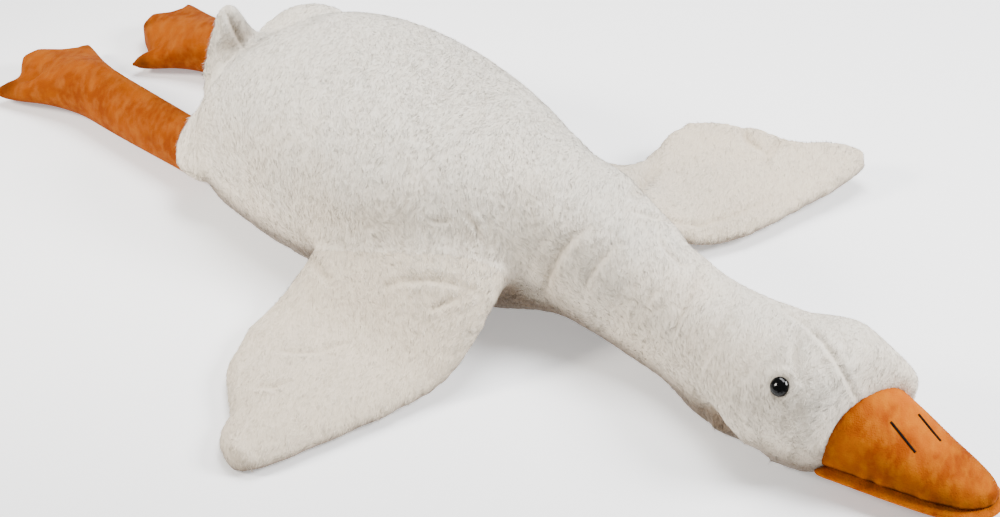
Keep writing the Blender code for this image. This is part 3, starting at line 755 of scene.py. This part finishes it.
def grow_fibres(points, normals, quads):
    """Four corners of each fibre, the normal that it is shaded with, and the cover's point beside it."""
    place, normal, nearest, rng = scatter(points, normals, quads, FIBRES, FIBRE_SEED)
    lean = fibre_lean(place, normal, rng)
    tufted = tuft_strength(place)[:, None]
    rise = FIBRE_RISE * (0.45 + 0.75 * tufted) * (0.7 + 0.6 * rng.random((FIBRES, 1)))
    heading = lean * np.cos(rise) + normal * np.sin(rise)
    length = FIBRE_LENGTH * (0.65 + 0.7 * rng.random((FIBRES, 1)))
    side = unit(np.cross(heading, normal)) * FIBRE_RADIUS
    root = place - normal * FIBRE_ROOT_DEPTH
    upper = root + normal * FIBRE_RADIUS * 1.2
    corners = np.stack([root + side, root - side, upper, root + heading * length], axis=1)
    corners[:, :, 2] = np.maximum(corners[:, :, 2], FLOOR_CLEARANCE)
    shading = unit(normal + FIBRE_SHADING * (0.5 + tufted) * rng.normal(0.0, 1.0, (FIBRES, 3)))
    return corners, shading, nearest


def make_pile(points, normals, quads, shades, material):
    """Short fibres over the whole cover, in a few pieces."""
    corners, shading, nearest = grow_fibres(points, normals, quads)
    for number, start in enumerate(range(0, FIBRES, FIBRES_A_PIECE)):
        part = slice(start, start + FIBRES_A_PIECE)
        first = 4 * np.arange(len(corners[part]))[:, None]
        faces = np.concatenate([first + np.array(face) for face in SPIKE_FACES])
        pile = new_object(f"pile_{number + 1}", corners[part].reshape(-1, 3), faces.tolist(), material)
        # Each fibre takes the painted shade of the cover beside it
        for name, values, strength in (("painted_shade_and_toe_tint", shades[0], 0.8), ("painted_shade", shades[1], 1.0)):
            carry_value(pile, name, np.repeat(values[nearest[part]], 4) * strength)
        pile.data.normals_split_custom_set_from_vertices(np.repeat(shading[part], 4, axis=0).tolist())
        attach(pile, "root")


# Velour


def bill_seam(points, normals):
    """Moves the bill's points to a rolled rim under a puckered groove, and gives each one its painted shade:
    a dark line in the seam and darker sides above it, less on puckers.
    """
    above = points[:, 2] - BILL_PARTING
    groove = np.exp(-((above - BILL_GROOVE_RISE) / BILL_GROOVE_WIDTH) ** 2)
    rim = np.exp(-((points[:, 2] - BILL_RIM_MIDDLE) / BILL_RIM_WIDTH) ** 2)
    pucker = value_noise(points, BILL_PUCKER_GRAIN, 61) * np.exp(-(above / BILL_PUCKER_WIDTH) ** 2)
    outward = BILL_RIM_ROLL * rim - BILL_GROOVE * groove + BILL_PUCKER * pucker
    sideways = normals * (1.0, 1.0, 0.0)
    facing = np.linalg.norm(sideways, axis=1)
    # A dark line of painted shade in the seam
    line = np.exp(-((above - BILL_LINE_RISE) / BILL_LINE_WIDTH) ** 2)
    # Painted shade on the sides of the upper bill, darker towards the seam
    shade = smooth_step((BILL_SHADE_TO - points[:, 2]) / (BILL_SHADE_TO - BILL_PARTING))
    shade *= BILL_SHADE * smooth_step((above - BILL_LINE_RISE) / 0.002)
    # Puckers that stand out get less painted shade
    painted_shade_and_toe_tint = np.clip((line + shade) * smooth_step(facing / 0.6) - 0.3 * pucker, 0.0, 1.0)
    return points + outward[:, None] * sideways, painted_shade_and_toe_tint


def shape_leg(points, quads):
    """Slims the leg's root, draws in the webs and darkens the toe tips."""
    side = math.copysign(1.0, points[:, 0].mean())
    slim = LEG_ROOT_SHRINK * smooth_step((LEG_ROOT_END - points[:, 1]) / LEG_ROOT_FADE)
    points = points.copy()
    points[:, 0] += (side * LEG_AXIS_X - points[:, 0]) * slim
    points[:, 2] += (LEG_AXIS_Z - points[:, 2]) * slim
    tree = BVHTree.FromPolygons(points.tolist(), quads.tolist())
    painted_shade_and_toe_tint = np.zeros(len(points))
    drawn = np.zeros(len(points))
    for marks, total in ((WEB_NOTCHES, drawn), (TOE_TIPS, painted_shade_and_toe_tint)):
        for pixel, amount, reach in marks:
            for place in lay_on(tree, (pixel, pixel)):
                total += amount * np.exp(-(np.linalg.norm(points - place, axis=1) / reach) ** 2)
    points[:, 1] -= drawn
    return points, np.clip(painted_shade_and_toe_tint, 0.0, 1.0)


def make_velour_piece(name, node, material):
    is_bill = node.startswith("bill")
    points, faces = solid_copy((node,), BILL_VOXEL if is_bill else VELOUR_VOXEL)
    quads = np.array(faces)
    edges = quad_edges(quads)
    points = soften(points, edges, 8)
    if is_bill:
        points, painted_shade_and_toe_tint = bill_seam(points, point_normals(points, quads))
        points = soften(points, edges, 2)
    else:
        points, painted_shade_and_toe_tint = shape_leg(points, quads)
    points[:, 2] = np.maximum(points[:, 2], FLOOR_CLEARANCE)
    piece = new_object(name, points, quads.tolist(), material)
    carry_value(piece, "painted_shade_and_toe_tint", painted_shade_and_toe_tint)
    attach(piece, "root")
    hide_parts(node)


# Materials


def new_material(name, roughness, specular=0.2):
    """A material, its node tree and its shader."""
    material = bpy.data.materials.new(name)
    material.use_nodes = True
    tree = material.node_tree
    shader = tree.nodes["Principled BSDF"]
    shader.inputs["Roughness"].default_value = roughness
    shader.inputs["Specular IOR Level"].default_value = specular
    return material, tree, shader


def object_noise(tree, grain, turn=0.0, detail=2.0):
    """Noise in the frame's own coordinates. Grain is its size in metres, along turned axes."""
    place = tree.nodes.new("ShaderNodeTexCoord")
    mapping = tree.nodes.new("ShaderNodeMapping")
    mapping.vector_type = "TEXTURE"
    mapping.inputs["Rotation"].default_value = (0.0, 0.0, turn)
    mapping.inputs["Scale"].default_value = grain if isinstance(grain, tuple) else (grain, grain, grain)
    noise = tree.nodes.new("ShaderNodeTexNoise")
    noise.inputs["Scale"].default_value = 1.0
    noise.inputs["Detail"].default_value = detail
    tree.links.new(place.outputs["Object"], mapping.inputs["Vector"])
    tree.links.new(mapping.outputs["Vector"], noise.inputs["Vector"])
    return noise.outputs["Fac"]


def spread(tree, value, low, high, to_low=0.0, to_high=1.0):
    """Stretches the range low to high of a value over to_low to to_high."""
    node = tree.nodes.new("ShaderNodeMapRange")
    node.inputs["From Min"].default_value = low
    node.inputs["From Max"].default_value = high
    node.inputs["To Min"].default_value = to_low
    node.inputs["To Max"].default_value = to_high
    tree.links.new(value, node.inputs["Value"])
    return node.outputs["Result"]


def blend(tree, share, first, second):
    """Mixes two colours, each one a socket or a plain colour."""
    node = tree.nodes.new("ShaderNodeMix")
    node.data_type = "RGBA"
    tree.links.new(share, node.inputs[0])
    for socket, colour in ((node.inputs[6], first), (node.inputs[7], second)):
        if isinstance(colour, tuple):
            socket.default_value = (*colour, 1.0)
        else:
            tree.links.new(colour, socket)
    return node.outputs[2]


def combine(tree, operation, first, second):
    """Adds or multiplies a socket and another socket or a number."""
    node = tree.nodes.new("ShaderNodeMath")
    node.operation = operation
    tree.links.new(first, node.inputs[0])
    if isinstance(second, float):
        node.inputs[1].default_value = second
    else:
        tree.links.new(second, node.inputs[1])
    return node.outputs[0]


def add_bump(tree, shader, height, distance, strength=1.0):
    bump = tree.nodes.new("ShaderNodeBump")
    bump.inputs["Distance"].default_value = distance
    bump.inputs["Strength"].default_value = strength
    tree.links.new(height, bump.inputs["Height"])
    tree.links.new(bump.outputs["Normal"], shader.inputs["Normal"])


def object_height(tree):
    """The height over the floor, in metres."""
    place = tree.nodes.new("ShaderNodeTexCoord")
    parts = tree.nodes.new("ShaderNodeSeparateXYZ")
    tree.links.new(place.outputs["Object"], parts.inputs["Vector"])
    return parts.outputs["Z"]


def carried_value(tree, name):
    """A value that the mesh carries at each of its points."""
    node = tree.nodes.new("ShaderNodeAttribute")
    node.attribute_name = name
    return node.outputs["Fac"]


def add_sheen(shader, weight, roughness):
    shader.inputs["Sheen Weight"].default_value = weight
    shader.inputs["Sheen Roughness"].default_value = roughness


def plush_material(name, warm, cool, shade):
    """Short pile: combed fibres over tufts, warmer below, cooler on top, with painted shade between fibres,
    in creases, between tufts and where other cloth or the floor is near.
    """
    material, tree, shader = new_material(name, 0.95, 0.08)
    fibres = object_noise(tree, (0.0050, 0.0015, 0.0022), COMB_TURN, 3.0)
    clumps = object_noise(tree, (0.016, 0.0065, 0.009), COMB_TURN)
    blotches = object_noise(tree, 0.07, 0.0, 1.0)
    height = combine(tree, "ADD", object_height(tree), spread(tree, blotches, 0.3, 0.7, -0.03, 0.03))
    colour = blend(tree, spread(tree, height, COOL_FROM, COOL_TO), warm, cool)
    # Painted shade where the fibres and clumps of the bump are low
    fine = spread(tree, fibres, 0.35, 0.70, 0.16, 0.0)
    broad = spread(tree, clumps, 0.35, 0.65, 0.12, 0.0)
    # Painted shade in creases and between tufts
    hollow = combine(tree, "MULTIPLY", carried_value(tree, "painted_shade_and_toe_tint"), 0.45)
    darkness = combine(tree, "ADD", combine(tree, "ADD", fine, broad), hollow)
    colour = blend(tree, darkness, colour, shade)
    # Painted shade where other cloth or the floor is close by
    painted_shade = spread(tree, carried_value(tree, "painted_shade"), SHADE_FROM, SHADE_TO)
    tree.links.new(blend(tree, painted_shade, colour, PAINTED_SHADE_COLOUR), shader.inputs["Base Color"])
    add_sheen(shader, 0.25, 0.6)
    pile = combine(tree, "ADD", fibres, combine(tree, "MULTIPLY", clumps, 1.5))
    add_bump(tree, shader, pile, 0.0009)
    return material


def velour_material(name, lit, deep, painted_brushed_sheen, low):
    """Short nap that lies in patches, some brushed paler with a painted sheen. Painted shade darkens it low
    down, in the bill's seam and on the bill's sides, and the toe tips are darker.
    """
    material, tree, shader = new_material(name, 0.85, 0.05)
    patches = object_noise(tree, 0.045)
    strokes = object_noise(tree, (0.020, 0.009, 0.012), 0.5)
    grain = object_noise(tree, 0.0014)
    colour = blend(tree, spread(tree, patches, 0.40, 0.60), deep, lit)
    # Brushed strokes, paler with a painted sheen
    colour = blend(tree, spread(tree, strokes, 0.42, 0.72, 0.0, 0.60), colour, painted_brushed_sheen)
    # Painted shade towards the floor
    colour = blend(tree, spread(tree, object_height(tree), PAINTED_LOW_SHADE_FROM, PAINTED_LOW_SHADE_TO), low, colour)
    # Painted shade in the bill's seam and on its sides, and darker toe tips
    colour = blend(tree, carried_value(tree, "painted_shade_and_toe_tint"), colour, tuple(0.12 * part for part in low))
    tree.links.new(colour, shader.inputs["Base Color"])
    add_sheen(shader, 0.04, 0.5)
    shader.inputs["Sheen Tint"].default_value = (1.0, 0.45, 0.10, 1.0)
    pile = combine(tree, "ADD", grain, combine(tree, "MULTIPLY", strokes, 1.2))
    add_bump(tree, shader, pile, 0.0008)
    return material


def eye_material():
    material, tree, shader = new_material("eye_gloss", 0.06, 0.22)
    haze = object_noise(tree, 0.0011)
    tree.links.new(spread(tree, haze, 0.3, 0.7, 0.05, 0.09), shader.inputs["Roughness"])
    shader.inputs["Base Color"].default_value = (0.002, 0.002, 0.002, 1.0)
    return material


def thread_material():
    """Black thread with the twist of its strands across it."""
    material, tree, shader = new_material("thread_black_look", 0.85, 0.05)
    strands = object_noise(tree, (0.0016, 0.0007, 0.0012), 0.6, 1.0)
    colour = blend(tree, strands, (0.003, 0.002, 0.002), (0.016, 0.011, 0.008))
    tree.links.new(colour, shader.inputs["Base Color"])
    add_bump(tree, shader, strands, 0.0006)
    return material


def washer_material():
    material, tree, shader = new_material("washer_look", 0.45, 0.4)
    mottle = object_noise(tree, 0.0025)
    colour = blend(tree, mottle, (0.72, 0.72, 0.69), (0.78, 0.78, 0.75))
    tree.links.new(colour, shader.inputs["Base Color"])
    return material


def dress_node(node, material):
    """Gives a CAD node that is shown as it is its own look."""
    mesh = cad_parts[node].data
    mesh.materials.clear()
    mesh.materials.append(material)


# Studio


def make_floor():
    """A pale floor that glows a little, like a light table."""
    corners = [(FLOOR_REACH * x, FLOOR_REACH * y, 0) for x, y in ((-1, -1), (1, -1), (1, 1), (-1, 1))]
    floor = new_object("floor", corners, [(0, 1, 2, 3)])
    material, _, shader = new_material("floor_white", 0.9)
    shader.inputs["Base Color"].default_value = (0.93, 0.93, 0.93, 1.0)
    shader.inputs["Emission Color"].default_value = (1.0, 1.0, 1.0, 1.0)
    shader.inputs["Emission Strength"].default_value = FLOOR_GLOW
    floor.data.materials.append(material)


def aim_light(light, place, aim):
    light.location = place
    light.rotation_mode = "QUATERNION"
    light.rotation_quaternion = (Vector(aim) - Vector(place)).to_track_quat("-Z", "Y")
    bpy.context.collection.objects.link(light)


def make_light(name, place, aim, size, power, colour):
    data = bpy.data.lights.new(name, "AREA")
    data.shape = "RECTANGLE"
    data.size = size
    data.size_y = size
    data.energy = power
    data.color = colour
    light = bpy.data.objects.new(name, data)
    aim_light(light, place, aim)


def make_spot(name, place, aim, cone, power, colour):
    """A soft spot that only lights the rear of the goose."""
    data = bpy.data.lights.new(name, "SPOT")
    data.spot_size = math.radians(cone)
    data.spot_blend = 1.0
    data.shadow_soft_size = 0.35
    data.energy = power
    data.color = colour
    light = bpy.data.objects.new(name, data)
    aim_light(light, place, aim)


def make_studio():
    make_floor()
    make_light("top_light", (0.6, 0.2, 2.2), (0, 0, 0), 1.2, 88, COOL_LIGHT)
    make_light("head_light", (1.0, -1.8, 1.5), (0, -0.5, 0.05), 0.8, 108, COOL_LIGHT)
    make_spot("side_light", (-1.7, 1.3, 1.4), (-0.1, 0.2, 0.05), 40, 430, WARM_LIGHT)
    world = bpy.data.worlds.new("studio")
    world.use_nodes = True
    background = world.node_tree.nodes["Background"]
    background.inputs["Color"].default_value = (1.0, 1.0, 1.0, 1.0)
    background.inputs["Strength"].default_value = WORLD_LIGHT
    bpy.context.scene.world = world


VELOUR_PIECES = {
    "bill_top": ("bill_upper", "orange_velour"),
    "bill_rim": ("bill_lower", "orange_velour"),
    "foot_right": ("leg_right", "leg_velour"),
    "foot_left": ("leg_left", "leg_velour"),
}


def make_velour():
    looks = {
        "orange_velour": velour_material("bill_velour", *BILL_COLOURS),
        "leg_velour": velour_material("leg_velour_look", *LEG_COLOURS),
    }
    for name, (node, slot) in VELOUR_PIECES.items():
        make_velour_piece(name, node, looks[slot])


def main():
    make_camera()
    make_studio()
    body = plush_material("body_plush", *BODY_COLOURS)
    wing = plush_material("wing_plush_look", *WING_COLOURS)
    make_cover({"white_plush": body, "wing_plush": wing})
    make_velour()
    eye = eye_material()
    washer = washer_material()
    thread = thread_material()
    for side in ("right", "left"):
        dress_node("eye_" + side, eye)
        dress_node("eye_washer_" + side, washer)
        dress_node("nostril_stitch_" + side, thread)


main()
